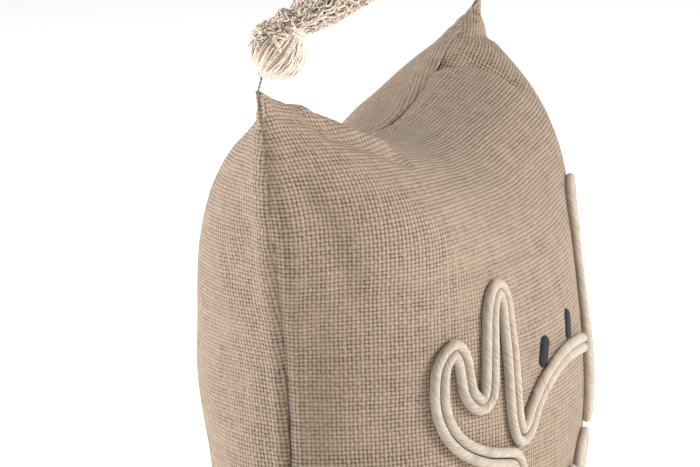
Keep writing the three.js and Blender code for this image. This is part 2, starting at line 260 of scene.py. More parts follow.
def hessian_finish():
    f = Finish("hessian")
    flat = f.node("UVMap", {"uv_map": "flat"})[0]
    parts = f.node("SeparateXYZ", {}, {0: flat})
    wander = f.noise(flat, 55.0, 2.0)
    drift = f.noise(flat, 9.0, 1.0)
    across = parts["X"] / YARN_PITCH + (wander - 0.5) * 0.45 + (drift - 0.5) * 1.6
    along = parts["Y"] / YARN_PITCH + (f.noise(flat, 47.0, 2.0) - 0.5) * 0.45
    along = along + (f.noise(flat, 8.0, 1.0) - 0.5) * 1.6
    warp_count, weft_count = across.floor(), along.floor()
    warp_side, weft_side = across.fraction() - 0.5, along.fraction() - 0.5
    warp_lift = ((along - 0.5) * math.pi).cosine() * (warp_count * math.pi).cosine()
    weft_lift = 0.0 - ((across - 0.5) * math.pi).cosine() * (weft_count * math.pi).cosine()
    # each yarn's own thickness changes slowly along it, so a slub runs over a few crossings
    warp_slub = f.noise(f.vector(warp_count * 3.7, along * 0.16), 1.0, 3.0, 0.6)
    weft_slub = f.noise(f.vector(across * 0.16, weft_count * 5.3, 7.0), 1.0, 3.0, 0.6)
    warp_half = 0.17 + warp_slub * 0.50
    weft_half = 0.17 + weft_slub * 0.50
    warp_round = 1.0 - (warp_side / warp_half).squared()
    weft_round = 1.0 - (weft_side / weft_half).squared()
    warp_top = warp_round.at_least(0.0).root() * YARN_ROUND + warp_lift * YARN_LIFT
    weft_top = weft_round.at_least(0.0).root() * YARN_ROUND + weft_lift * YARN_LIFT
    warp_on, weft_on = warp_side.size().below(warp_half), weft_side.size().below(weft_half)
    warp_height = warp_top * warp_on - (1.0 - warp_on) * 0.9
    weft_height = weft_top * weft_on - (1.0 - weft_on) * 0.9
    height = warp_height.at_least(weft_height)
    warp_shows = weft_height.below(warp_height)
    # fine fibres lie along each yarn, with a slight twist
    warp_fibre = f.noise(f.vector(across * 14.0 + along * 3.0, along * 1.3), 1.0, 3.0, 0.65)
    weft_fibre = f.noise(f.vector(across * 1.3, along * 14.0 + across * 3.0, 4.0), 1.0, 3.0, 0.65)
    fibre = warp_fibre * warp_shows + weft_fibre * (1.0 - warp_shows)
    warp_shade = f.node("TexWhiteNoise", {"noise_dimensions": "1D"}, {"W": warp_count})["Value"]
    weft_shade = f.node("TexWhiteNoise", {"noise_dimensions": "1D"}, {"W": weft_count + 0.5})["Value"]
    yarn_shade = warp_shade * warp_shows + weft_shade * (1.0 - warp_shows)
    slub = warp_slub * warp_shows + weft_slub * (1.0 - warp_shows)
    # the height term darkens the low places of the weave: painted shade in its hollows, over the yarns' own
    # fibres, slubs and tone
    shade = height * 0.34 + fibre * 0.42 + yarn_shade * 0.15 + slub * 0.38
    cloth = f.blend(shade.spread(0.32, 0.98), colour(*HESSIAN_DARK), colour(*HESSIAN_LIGHT))
    patches = f.noise(flat, 26.0, 3.0)
    cloth = f.blend(patches.spread(0.35, 0.7) * 0.22, cloth, colour(*HESSIAN_PATCH))
    # the pinholes are painted nearly black: painted shade inside holes that the mesh doesn't have
    hole_shade = height.below(-0.28)
    cloth = f.blend(hole_shade * 0.92, cloth, colour(*HESSIAN_HOLE_SHADE))
    relief = height * 0.75 + fibre * 0.35
    return f.surface(
        base_color=cloth,
        roughness=0.88,
        normal=f.bump(relief, 0.0009, 0.9),
        sheen_weight=0.12,
        sheen_roughness=0.5,
        specular_ior_level=0.18,
    )


hessian = hessian_finish()
print("threads across a panel:", round(0.4 / YARN_PITCH))

# %% [markdown]
# ## The shape of a filled square
# Two flat squares sewn together can't stretch, so filling them pulls the middles of the sides in and leaves
# the corners as pointed ears. A point on the cloth keeps its flat place (u across, v up, from -1 to 1), and
# one formula says where filling carries it: each section is a half ellipse, and the ears stay slim.

# %% The cushion's surface
HALF_PANEL = 0.200
CORNER = 0.187
HALF_WIDTH = 0.1452
TOP_RISE = 0.1385
TOP_GRIP = 0.8  # the lower, the sooner the top seam drops away from an ear
BOTTOM_DROP = 0.175
DEPTH = {-1: 0.1115, 1: 0.091}
EAR_FULLNESS = 4.1
EAR_LIFT = 0.013
SEAM_Y = 0.008
SEAM_GAP = 0.0003
BOW = 0.0065  # the filling pushes the middle back behind the corners
ZIP_HEIGHT = 0.112
ZIP_REACH = 0.62


def section_angle(u):
    share = np.abs(u)
    return math.pi / 2 * share * (1 - 0.127 * (1 - share**2))


def pull(v, grip=1.5):
    return (1 - v**2) / (1 + grip * v**2)


def across(u, v, corner, middle, grip=1.5):
    drawn_in = middle * np.sign(u) * np.sin(section_angle(u))
    return corner * u + (drawn_in - corner * u) * pull(v, grip)


def bow(u, v, z, side):
    """How far back the cloth sits behind its corners. The stiff zip holds the back panels in."""
    held = np.clip((1 - np.abs(u)) / 0.34, 0, 1) ** 2 * np.exp(-(((z - ZIP_HEIGHT) / 0.045) ** 2))
    return BOW * pull(v) * (1 - held if side > 0 else 1)


def surface(u, v, side, inset=0.0):
    """Where filling carries the cloth's flat place: side -1 is the front panel and 1 the back."""
    u, v = np.broadcast_arrays(np.asarray(u, float), np.asarray(v, float))
    middle = np.where(v > 0, TOP_RISE, BOTTOM_DROP) - inset
    ear = 1 + EAR_FULLNESS * (u * v) ** 2
    bulge = (DEPTH[side] - inset) * np.cos(section_angle(u)) * np.cos(section_angle(v)) * ear
    x = across(u, v, CORNER - inset, HALF_WIDTH - inset)
    grip = np.where(v > 0, TOP_GRIP, 1.5)
    z = np.maximum(across(v, u, CORNER - inset, middle, grip), inset - CENTRE.z)
    z = z + np.where(v < 0, EAR_LIFT * (u * v) ** 8, 0.0)
    z = z + CENTRE.z
    return np.stack([x, SEAM_Y + bow(u, v, z, side) + side * (SEAM_GAP / 2 + bulge), z], -1)


def outward(u, v, side):
    """The way out of the cloth there."""
    step = 0.004
    along_u = surface(u + step, v, side) - surface(u - step, v, side)
    along_v = surface(u, v + step, side) - surface(u, v - step, side)
    way = np.cross(along_u, along_v) * -side
    return way / np.linalg.norm(way, axis=-1, keepdims=True).clip(1e-9)


print("middle of the front:", surface(0, 0, -1).round(4))

# %% [markdown]
# ## Pieces from grids
# Cloth, cord and yarn are all sheets of quads that are bent into place, so one helper makes a grid, keeps
# its flat coordinates as a UV map, and moves its points. Where a bent sheet meets itself, as round a cord,
# its doubled points are merged.

# %% Helpers for pieces
def finished(name, mesh, body, material, replaces=(), weld=0.0):
    """Makes an object of a mesh, hangs it on the body it rides on, and hides the CAD parts it stands for."""
    if weld:
        shape = bmesh.new()
        shape.from_mesh(mesh)
        bmesh.ops.remove_doubles(shape, verts=shape.verts, dist=weld)
        bmesh.ops.dissolve_degenerate(shape, edges=shape.edges, dist=weld / 4)
        shape.to_mesh(mesh)
        shape.free()
    mesh.polygons.foreach_set("use_smooth", [True] * len(mesh.polygons))
    if material:
        mesh.materials.append(material)
    piece = bpy.data.objects.new(name, mesh)
    scene.collection.objects.link(piece)
    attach(piece, body)
    if replaces:
        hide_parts(*replaces)
    print(name, len(mesh.polygons), "faces")
    return piece


def bent_grid(name, columns, rows, place, flat):
    """A grid with points (x, y) from -1 to 1 moved to place(x, y), and flat(x, y) as its UV map."""
    shape = bmesh.new()
    bmesh.ops.create_grid(shape, x_segments=columns, y_segments=rows, size=1)
    mesh = bpy.data.meshes.new(name)
    shape.to_mesh(mesh)
    shape.free()
    spots = np.zeros(len(mesh.vertices) * 3)
    mesh.vertices.foreach_get("co", spots)
    x, y = spots.reshape(-1, 3)[:, 0], spots.reshape(-1, 3)[:, 1]
    corners = np.zeros(len(mesh.loops), int)
    mesh.loops.foreach_get("vertex_index", corners)
    layer = mesh.uv_layers.new(name="flat")
    layer.data.foreach_set("uv", np.stack(flat(x, y), -1)[corners].astype(np.float32).ravel())
    mesh.vertices.foreach_set("co", place(x, y).astype(np.float32).ravel())
    mesh.update()
    return mesh


def joined(name, meshes):
    """One mesh of several."""
    shape = bmesh.new()
    for mesh in meshes:
        shape.from_mesh(mesh)
    whole = bpy.data.meshes.new(name)
    shape.to_mesh(whole)
    shape.free()
    return whole


# %% [markdown]
# ## The cover
# The cover is one front panel and two back panels that meet at a zip. They are sewn inside out and turned,
# so the seam is a narrow groove between two rounded lips, with the seam allowance showing as a soft ridge
# beside it. The stitches pull small puckers into the cloth, and the ears crease where the filling stops.

# %% The cover's small shapes
def near_line(x, y, line, width):
    """1 on a line of points on the flat panel, falling to 0 at about twice that width from it."""
    nearest = np.full(x.shape, 1e9)
    for (ax, ay), (bx, by) in zip(line, line[1:]):
        dx, dy = bx - ax, by - ay
        share = np.clip(((x - ax) * dx + (y - ay) * dy) / (dx * dx + dy * dy), 0, 1)
        nearest = np.minimum(nearest, np.hypot(x - ax - share * dx, y - ay - share * dy))
    return np.exp(-((nearest / width) ** 2))


def waves(x, y, seed, size):
    """Gentle unevenness, from a few crossing waves of about that size."""
    draw = random.Random(seed)
    total = np.zeros(np.shape(x))
    for _ in range(7):
        turn, long = draw.uniform(0, math.pi), size * draw.uniform(0.7, 1.5)
        phase = draw.uniform(0, 2 * math.pi)
        total += np.sin(2 * math.pi * (x * math.cos(turn) + y * math.sin(turn)) / long + phase)
    return total / 7**0.5


FOLDS = {  # lines on the flat panel in metres, with width and depth: a depth below 0 is a ridge
    -1: [
        ([(-0.163, 0.192), (-0.140, 0.183), (-0.119, 0.174)], 0.0040, -0.0026),
        ([(-0.166, 0.182), (-0.142, 0.173), (-0.118, 0.163)], 0.0050, 0.0032),
        ([(0.185, 0.180), (0.168, 0.188), (0.148, 0.197)], 0.0035, 0.0026),
        ([(0.128, 0.170), (0.124, 0.188), (0.108, 0.199)], 0.0050, 0.0034),
        ([(-0.192, 0.150), (-0.182, 0.120), (-0.176, 0.090)], 0.0060, 0.0016),
    ],
    1: [
        ([(-0.150, 0.150), (-0.170, 0.170), (-0.186, 0.184)], 0.0050, 0.0018),
        ([(0.150, 0.150), (0.170, 0.170), (0.186, 0.184)], 0.0050, 0.0018),
        ([(-0.190, 0.120), (-0.176, 0.095)], 0.0060, 0.0016),
        ([(0.190, 0.120), (0.176, 0.095)], 0.0060, 0.0016),
    ],
}


def small_shape(u, v, side):
    """How far the cloth stands out from the smooth filled shape, in metres."""
    x, y = u * HALF_PANEL, v * HALF_PANEL
    edge = HALF_PANEL - np.maximum(np.abs(x), np.abs(y))
    run = np.where(np.abs(x) > np.abs(y), y, x)
    pucker = np.sin(run * 2 * math.pi / 0.013 + 2 * waves(run, run * 0, 5 + side, 0.06))
    away = np.clip((1 - np.abs(u * v)) / 0.06, 0, 1)  # from the tips of the ears
    out = 0.0009 * away * np.exp(-(((edge - 0.006) / 0.0035) ** 2))
    out -= 0.0016 * away * np.exp(-((edge / 0.0016) ** 2))
    out += 0.0005 * away * pucker * np.exp(-(((edge - 0.006) / 0.006) ** 2))
    out += 0.0007 * waves(x, y, 11 + side, 0.075) * np.clip(edge / 0.03, 0, 1)
    for line, width, depth in FOLDS[side]:
        out -= depth * near_line(x, y, line, width)
    return out


def dressed(u, v, side, inset=0.0):
    """The cloth's outside with its small shapes."""
    spots = surface(u, v, side, inset) + outward(u, v, side) * small_shape(u, v, side)[..., None]
    spots[..., 2] = np.maximum(spots[..., 2], 0.0002)
    return spots


lip = small_shape(np.array([0.97]), np.array([0.0]), -1)[0]
print("seam lip stands out", round(float(lip) * 1000, 2), "mm")

# %% The cover itself
COLUMNS = 150
CLOTH = 0.0014
ZIP_HALF_GAP = 0.0044


def tight_to_edges(t):
    """Spaces grid lines more closely towards the seams."""
    return t * (1.35 - 0.35 * t * t)


def level_at(u, height):
    """The v at which the back panel is that high above the floor, found by halving."""
    low, high = np.full(np.shape(u), -1.0), np.full(np.shape(u), 1.0)
    for _ in range(30):
        middle = (low + high) / 2
        under = surface(u, middle, 1)[..., 2] < height
        low, high = np.where(under, middle, low), np.where(under, high, middle)
    return (low + high) / 2


def zip_edge(u, way):
    """The v of the back panel's edge above (1) or below (-1) the zip."""
    open_half = ZIP_HALF_GAP * (1 - np.clip((np.abs(u) - ZIP_REACH - 0.045) / 0.03, 0, 1))
    return level_at(u, ZIP_HEIGHT + way * (open_half + SEAM_GAP))


def cloth_lengths(side):
    """Lengths along the filled cloth from its middle, across and up, for a grid of flat places."""
    t = np.linspace(-1, 1, 161)
    spots = surface(t[:, None], t[None, :], side)
    tables = []
    for axis in (0, 1):
        steps = np.linalg.norm(np.diff(spots, axis=axis), axis=-1)
        length = np.insert(np.cumsum(steps, axis), 0, 0.0, axis)
        tables.append(length - np.take(length, [80], axis))
    return tables


def looked_up(table, u, v):
    """A value between the grid lines of such a table."""
    at_u, at_v = (np.clip((w + 1) * 80, 0, 159.999) for w in (u, v))
    i, j = at_u.astype(int), at_v.astype(int)
    a, b = at_u - i, at_v - j
    low = table[i, j] * (1 - a) + table[i + 1, j] * a
    high = table[i, j + 1] * (1 - a) + table[i + 1, j + 1] * a
    return low * (1 - b) + high * b


LENGTHS = {side: cloth_lengths(side) for side in (-1, 1)}


def cover_panel(name, side, rows, low, high):
    def flat_place(x, y):
        u = tight_to_edges(x) * -side
        t = (tight_to_edges(y) + 1) / 2
        return u, low(u) + (high(u) - low(u)) * t

    def place(x, y):
        u, v = flat_place(x, y)
        return dressed(u, v, side)

    def flat(x, y):
        u, v = flat_place(x, y)
        across_cloth, up_cloth = (looked_up(table, u, v) for table in LENGTHS[side])
        return across_cloth, up_cloth + (0.5 if side > 0 else 0.0)

    return bent_grid(name, COLUMNS, rows, place, flat)


ONE = np.ones_like
panels = [
    cover_panel("front_panel", -1, COLUMNS, lambda u: -ONE(u), ONE),
    cover_panel("back_upper_panel", 1, COLUMNS // 2, lambda u: zip_edge(u, 1), ONE),
    cover_panel("back_lower_panel", 1, COLUMNS // 2, lambda u: -ONE(u), lambda u: zip_edge(u, -1)),
]
cover = finished(
    "cushion_cover", joined("cushion_cover", panels), "cushion", hessian,
    ["cover_front", "cover_back_upper", "cover_back_lower"],
)
thick = cover.modifiers.new("cloth thickness", "SOLIDIFY")
thick.thickness = CLOTH
thick.offset = -1

# %% [markdown]
# ## The inner pad
# The pad inside is a calico bag of polyester fibre, a little smaller than the cover so that it goes in
# through the zip. It shows only where the zip is open, so it needs its shape and a fine plain weave.

# %% The inner pad
PAD_INSET = 0.0095


def calico_finish():
    f = Finish("calico")
    place = f.node("UVMap", {"uv_map": "flat"})[0]
    parts = f.node("SeparateXYZ", {}, {0: place})
    ribs = (parts["X"] * 9000.0).cosine() * (parts["Y"] * 9000.0).cosine()
    cloud = f.noise(place, 40.0, 3.0)
    cloth = f.blend(cloud, colour(0.70, 0.66, 0.57), colour(0.80, 0.77, 0.69))
    return f.surface(base_color=cloth, roughness=0.9, normal=f.bump(ribs, 0.0001, 0.6))


def pad_half(side):
    def place(x, y):
        return surface(x * -side, y, side, PAD_INSET)

    return bent_grid("pad_half", 48, 48, place, lambda x, y: (x * 0.19, y * 0.19))


pad = finished(
    "inner_pad", joined("inner_pad", [pad_half(-1), pad_half(1)]), "cushion", calico_finish(),
    ["pad_casing_front", "pad_casing_back", "pad_fibre_fill"], weld=0.0006,
)

# %% [markdown]
# ## A tube that follows a line
# Cords, yarns and threads are tubes of different thickness on different lines. The helper makes a grid,
# wraps its rows round a smooth line, merges the long edge and tapers the ends shut. Its UV map holds the
# distance along the tube in metres and the share of the way round.

# %% Tubes
def smooth_line(points, steps):
    """That many even steps along a smooth curve through the points."""
    points = np.asarray(points, float)
    padded = np.vstack([2 * points[0] - points[1], points, 2 * points[-1] - points[-2]])
    pieces = []
    for a, b, c, d in zip(padded, padded[1:], padded[2:], padded[3:]):
        t = np.linspace(0, 1, 13)[:-1, None]
        square, cube = 2 * a - 5 * b + 4 * c - d, 3 * b - a - 3 * c + d
        pieces.append(0.5 * (2 * b + (c - a) * t + square * t**2 + cube * t**3))
    fine = np.vstack(pieces + [points[-1:]])
    length = np.r_[0, np.cumsum(np.linalg.norm(np.diff(fine, axis=0), axis=1))]
    even = np.linspace(0, length[-1], steps + 1)
    return np.stack([np.interp(even, length, fine[:, i]) for i in range(fine.shape[1])], -1)


def frames_along(line, lean):
    """Two directions across the line at each of its points, the first turned towards lean."""
    way = np.gradient(line, axis=0)
    way /= np.linalg.norm(way, axis=1, keepdims=True).clip(1e-12)
    lean = np.broadcast_to(lean, line.shape)
    first = lean - way * (lean * way).sum(1, keepdims=True)
    first /= np.linalg.norm(first, axis=1, keepdims=True).clip(1e-9)
    return first, np.cross(way, first)


def around(middle, first, second, angle, out):
    """Points round a middle line, at an angle from first towards second and that far out."""
    sideways = first * np.cos(angle)[:, None] + second * np.sin(angle)[:, None]
    return middle + sideways * np.reshape(out, (-1, 1))


def add_tube(shape, line, radius, sides, lean=(0.31, 0.17, 0.94), lobes=0, depth=0.0, twist=0.0, tone_and_shade=0.5):
    """Adds a tube to a bmesh: radius may change along it, and lobes of that depth can wind round it."""
    layer = shape.loops.layers.uv.verify()
    shade = shape.loops.layers.float_color.get("tone_and_shade") or shape.loops.layers.float_color.new("tone_and_shade")
    steps = len(line) - 1
    spots = bmesh.ops.create_grid(shape, x_segments=steps, y_segments=sides, size=1)["verts"]
    step = np.array([round((v.co.x + 1) / 2 * steps) for v in spots])
    turn = np.array([round((v.co.y + 1) / 2 * sides) for v in spots])
    length = np.r_[0, np.cumsum(np.linalg.norm(np.diff(line, axis=0), axis=1))]
    first, second = frames_along(line, lean)
    angle = 2 * math.pi * (turn % sides) / sides
    wide = np.broadcast_to(radius, (steps + 1,))[step]
    if lobes:
        wide = wide * (1 - depth + depth * np.abs(np.cos(lobes / 2 * (angle - twist * length[step]))))
    where = around(line[step], first[step], second[step], angle, wide)
    own = {}
    for i, v in enumerate(spots):
        v.co = where[i]
        own[v] = (length[step[i]], turn[i] / sides)
    for face in {face for v in spots for face in v.link_faces}:
        for loop in face.loops:
            loop[layer].uv = own[loop.vert]
            # this vertex colour darkens the tube: a yarn's own tone, and on the tassels' hidden cores painted
            # shade
            loop[shade] = (tone_and_shade, tone_and_shade, tone_and_shade, 1)
    return spots


def tapered(steps, radius, share=0.04, tip=0.02):
    """A radius that closes over the first and last share of a tube."""
    t = np.linspace(0, 1, steps + 1)
    ends = np.clip(np.minimum(t, 1 - t) / share, 0, 1)
    return radius * (tip + (1 - tip) * np.sqrt(1 - (1 - ends) ** 2))


def tubes_mesh(name, fill):
    """A mesh of the tubes that fill(bmesh) adds, with their long edges merged."""
    shape = bmesh.new()
    shape.loops.layers.uv.new("flat")
    fill(shape)
    bmesh.ops.remove_doubles(shape, verts=shape.verts, dist=1e-6)
    bmesh.ops.recalc_face_normals(shape, faces=shape.faces)
    mesh = bpy.data.meshes.new(name)
    shape.to_mesh(mesh)
    shape.free()
    return mesh


# %% [markdown]
# ## The appliqué cords
# Soft cotton cords are laid on the front in pairs and couched down, so each pair reads as two rounded ridges
# with a groove between them. Their routes are drawn on the flat panel and carried to the filled surface.
# The spinning shows as fine diagonal fibres, which come from bump, over a faint winding relief in the mesh.

# %% The cords' finish
def cotton_finish(name, dark, light, fibres, turns, fluff=0.00035):
    """Cotton whose fibres wind round it: that many side by side, and that many turns a metre."""
    f = Finish(name)
    parts = f.node("SeparateXYZ", {}, {0: f.node("UVMap", {"uv_map": "flat"})[0]})
    tone_and_shade = f.node("VertexColor", {"layer_name": "tone_and_shade"})["Color"]
    round_way = parts["Y"] + parts["X"] * turns
    lines = f.noise(f.vector(round_way * fibres, parts["X"] * 160.0), 1.0, 3.0, 0.6)
    strands = f.noise(f.vector(round_way * fibres * 0.22, parts["X"] * 45.0, 3.0), 1.0, 2.0, 0.5)
    fuzz = f.noise(f.node("TexCoord")["Object"], 900.0, 2.0)
    shade = lines * 0.8 + strands * 0.2
    yarn = f.blend(shade.spread(0.25, 0.72), colour(*dark), colour(*light))
    # the vertex colour darkens the yarn by its own tone, and on the tassels' hidden cores by painted shade
    yarn = f.node("Mix", {"data_type": "RGBA", "blend_type": "MULTIPLY"}, {0: 0.55, 6: yarn, 7: tone_and_shade})[2]
    relief = lines * 0.7 + strands * 0.15 + fuzz * 0.3
    return f.surface(
        base_color=yarn,
        roughness=0.92,
        normal=f.bump(relief, fluff, 0.9),
        sheen_weight=0.25,
        sheen_roughness=0.6,
        specular_ior_level=0.15,
    )


cord_cotton = cotton_finish("cord_cotton", (0.28, 0.22, 0.165), (0.57, 0.485, 0.40), 19.0, 56.0, 0.0005)

# %% The cords
CORD_RADIUS = 0.00272
CORD_PITCH = 0.0056
CORD_SIDES = 20
CORD_SINK = 0.78  # a cord's middle is this share of its radius above the cloth
BRANCH_ROUTE = [
    (-70.5, -100), (-70.5, -70), (-70.5, -42), (-71, -28), (-75, -20.5), (-83, -18.5), (-94, -16.5),
    (-107, -11), (-117, -2), (-123, 12), (-125, 28), (-124, 40), (-118, 47), (-112, 41), (-109, 30),
    (-106, 19), (-99, 12),
    (-93.5, 17), (-92, 30), (-91.5, 46), (-91, 61), (-88, 71), (-82.5, 74.5), (-78, 69), (-77, 55),
    (-76, 36), (-75.5, 16), (-74, -1), (-70, -9.5), (-63, -7), (-56, 2), (-46, 11), (-33, 18),
    (-17, 22), (2, 21.5), (21, 19),
]
UPRIGHT_ROUTE = [
    (30, -24), (28, -8), (28.5, 5), (34, 19), (45, 34), (58, 51), (70, 69), (80, 86), (89, 97), (100, 101),
    (109, 95), (114, 82), (115, 60), (115, 20), (115, -30), (113, -70), (111, -100),
]
LOWER_ROUTE = [
    (-13, -100), (-14, -76), (-13, -57), (-8, -46), (-1, -43), (5, -48), (6.5, -58), (11, -65),
    (15, -57), (16, -44), (17.5, -35), (22.5, -30.5), (28, -35), (30, -52), (32, -76), (33, -100),
]


def on_front(right, up, height):
    """The point that far right and up on the front panel, in metres on the flat, and that high above it."""
    u, v = np.asarray(right) / HALF_PANEL, np.asarray(up) / HALF_PANEL
    return dressed(u, v, -1) + outward(u, v, -1) * height


def cord_line(route, shift, steps):
    """A cord of a pair: the route moved sideways by shift on the panel, and laid on the cloth."""
    flat = smooth_line(np.array(route) * 0.001, steps)
    way = np.gradient(flat, axis=0)
    way /= np.linalg.norm(way, axis=1, keepdims=True)
    flat = flat + np.stack([-way[:, 1], way[:, 0]], -1) * shift
    u, v = flat[:, 0] / HALF_PANEL, flat[:, 1] / HALF_PANEL
    return on_front(flat[:, 0], flat[:, 1], CORD_RADIUS * CORD_SINK), outward(u, v, -1)


def add_cord_pair(name, route, steps):
    for which, side in (("left_cord", 0.5), ("right_cord", -0.5)):
        line, away = cord_line(route, side * CORD_PITCH, steps)

        def fill(shape):
            add_tube(
                shape, line, tapered(steps, CORD_RADIUS, 3.0 / steps), CORD_SIDES, lean=-away,
                lobes=6, depth=0.02, twist=300 * side, tone_and_shade=1.0,
            )

        mesh = tubes_mesh(f"{name}_{which}", fill)
        finished(f"soft_{name}_{which}", mesh, "cushion", cord_cotton, [f"{name}_{which}"])


add_cord_pair("branch", BRANCH_ROUTE, 520)
add_cord_pair("upright", UPRIGHT_ROUTE, 320)
add_cord_pair("lower_branch", LOWER_ROUTE, 240)

# %% [markdown]
# ## The satin-stitched bars
# Two short black bars stand on the rising cord. Satin stitch is a row of threads that lie side by side over
# a little padding, so each bar is made of its threads: arches across the bar, one next to the other.

# %% The stitched bars
BAR_WIDTH, BAR_HEIGHT = 0.0102, 0.0180
BAR_LEAN = math.radians(-20)
BAR_RISE = 0.0017
STITCH = 0.00042


def thread_finish(name, base, rough):
    f = Finish(name)
    parts = f.node("SeparateXYZ", {}, {0: f.node("UVMap", {"uv_map": "flat"})[0]})
    plies = f.noise(f.vector(parts["Y"] * 6.0 + parts["X"] * 900.0, parts["X"] * 300.0), 1.0, 2.0)
    tone_and_shade = f.node("VertexColor", {"layer_name": "tone_and_shade"})["Color"]
    dark = tuple(c * 0.6 for c in base)
    yarn = f.blend(plies.spread(0.3, 0.7), colour(*dark), colour(*base))
    yarn = f.node("Mix", {"data_type": "RGBA", "blend_type": "MULTIPLY"}, {0: 0.6, 6: yarn, 7: tone_and_shade})[2]
    return f.surface(base_color=yarn, roughness=rough, normal=f.bump(plies, 0.00008, 0.8), sheen_weight=0.1)


black_thread = thread_finish("black_thread", (0.009, 0.0088, 0.0085), 0.85)


def stitched_bar(name, right, up, seed):
    draw = random.Random(seed)
    count = round(BAR_HEIGHT / STITCH)

    def fill(shape):
        for i in range(count):
            at = (i + 0.5) / count * 2 - 1
            narrowed = math.sqrt(max(0.12, 1 - max(0.0, abs(at) - 0.5) ** 2 * 4))
            half = BAR_WIDTH / 2 * narrowed * draw.uniform(0.97, 1.05)
            t = np.linspace(-1, 1, 11)
            x, y = t * half, np.full(11, at * BAR_HEIGHT / 2) + draw.uniform(-1, 1) * 0.00006
            over = BAR_RISE * (1 - t**4) * math.sqrt(max(0.1, 1 - at**6)) - 0.0004
            turned_x = x * math.cos(BAR_LEAN) - y * math.sin(BAR_LEAN)
            turned_y = x * math.sin(BAR_LEAN) + y * math.cos(BAR_LEAN)
            line = on_front(right + turned_x, up + turned_y, over[:, None])
            add_tube(shape, line, tapered(10, STITCH * 0.62, 0.1, 0.2), 6, tone_and_shade=draw.uniform(0.6, 1.0))

    finished(f"satin_{name}", tubes_mesh(name, fill), "cushion", black_thread, [name])


stitched_bar("stitched_bar_left", -0.0405, 0.0290, 3)
stitched_bar("stitched_bar_right", -0.0025, 0.0355, 4)

# %% [markdown]
# ## Stray fibres
# Jute is spun from short, stiff fibres, so hessian is never quite smooth: pale ends stick out of it all
# over, and show best against the dark of a shaded side. Each is a very thin bent tube that lies on the cloth.

# %% The stray fibres
def fibre_finish():
    f = Finish("jute_fibre")
    cloud = f.noise(f.node("TexCoord")["Object"], 60.0, 1.0)
    straw = f.blend(cloud, colour(0.62, 0.50, 0.36), colour(0.80, 0.70, 0.55))
    return f.surface(base_color=straw, roughness=0.7)


def add_fibres(shape, count, draw):
    for _ in range(count):
        side = draw.choice((-1, 1))
        low, high = (-0.96, 0.96) if side < 0 else (-0.1, 0.96)
        u, v, turn = draw.uniform(-0.96, 0.96), draw.uniform(low, high), draw.uniform(0, 2 * math.pi)
        t = np.linspace(0, 1, 7)
        long, bend = draw.uniform(0.012, 0.035), draw.uniform(-2.0, 2.0)
        along_u = u + long * t * np.cos(turn + bend * t)
        along_v = v + long * t * np.sin(turn + bend * t)
        stand = draw.uniform(0.0002, 0.0016) * np.sin(math.pi * t * draw.uniform(0.5, 1.0)) + 0.0001
        line = dressed(along_u, along_v, side) + outward(along_u, along_v, side) * stand[:, None]
        add_tube(shape, line, tapered(6, draw.uniform(0.00005, 0.00009), 0.3), 3)


fibres = tubes_mesh("stray_fibres", lambda s: add_fibres(s, 900, random.Random(8)))
finished("stray_jute_fibres", fibres, "cushion", fibre_finish())

# %% [markdown]
# ## The tassels
# Each tassel is a bundle of curly cotton yarn. A grey thread ties it at the middle to the cushion's corner,
# the yarns fan out from that knot over a bulb, a few turns of yarn bind the neck, and the rest hangs loose
# in tight curls. Every yarn is its own tube with its own random curl, drawn from a seeded generator.

# %% The tassels' finishes
tassel_yarn = cotton_finish("tassel_yarn", (0.66, 0.51, 0.39), (0.97, 0.86, 0.74), 7.0, 300.0, 0.0002)
tie_thread = thread_finish("tie_thread", (0.36, 0.33, 0.30), 0.6)

# %% The tassels' measures
THREAD_LENGTH, THREAD_GAP = 0.0065, 0.0006
HEAD_LENGTH, HEAD_RADIUS, NECK_RADIUS = 0.031, 0.0135, 0.0062
SKIRT_LENGTH, SKIRT_RADIUS, SKIRT_GAP = 0.062, 0.0112, 0.0012
HEAD_SHAPE = [(0, 0.8), (1, 4), (4.5, 9), (9, 12.6), (14, 13.5), (19, 12), (23.5, 8.5), (26, 6.0), (31, 6.2)]
RAISED = {"thread": (0.1, -0.27, 0.96), "head": (0.2, -0.55, 0.81), "skirt": (0.28, -0.78, 0.56)}
LYING = {"thread": (-0.88, -0.48, 0.1), "head": (-0.88, -0.48, -0.03), "skirt": (-0.88, -0.48, -0.03)}
FALLEN_SIDE = 5.4
CORNERS = {"top_left": (-1, 1), "top_right": (1, 1), "bottom_left": (-1, -1), "bottom_right": (1, -1)}


def unit(v):
    v = np.asarray(v, float)
    return v / np.linalg.norm(v)


def tassel_places(corner):
    """The tip of the ear, the knot, the neck's end, and the ways of thread, head and skirt."""
    pose = RAISED if corner[1] > 0 else LYING
    ways = (pose[piece] for piece in ("thread", "head", "skirt"))
    thread, head, skirt = (unit((-corner[0] * x, y, z)) for x, y, z in ways)
    tip = surface(corner[0], corner[1], -1).copy()
    tip[1] = SEAM_Y
    knot = tip + thread * (THREAD_LENGTH + 2 * THREAD_GAP)
    return tip, knot, knot + head * (HEAD_LENGTH + SKIRT_GAP), thread, head, skirt


def side_ways(way):
    """Two directions across a way."""
    first = unit(np.cross(way, (0.3, 0.9, 0.2)))
    return first, np.cross(way, first)


# %% Tassel pieces
def head_radius(distance):
    where, wide = np.array(HEAD_SHAPE).T * 0.001
    return np.interp(distance, where, wide)


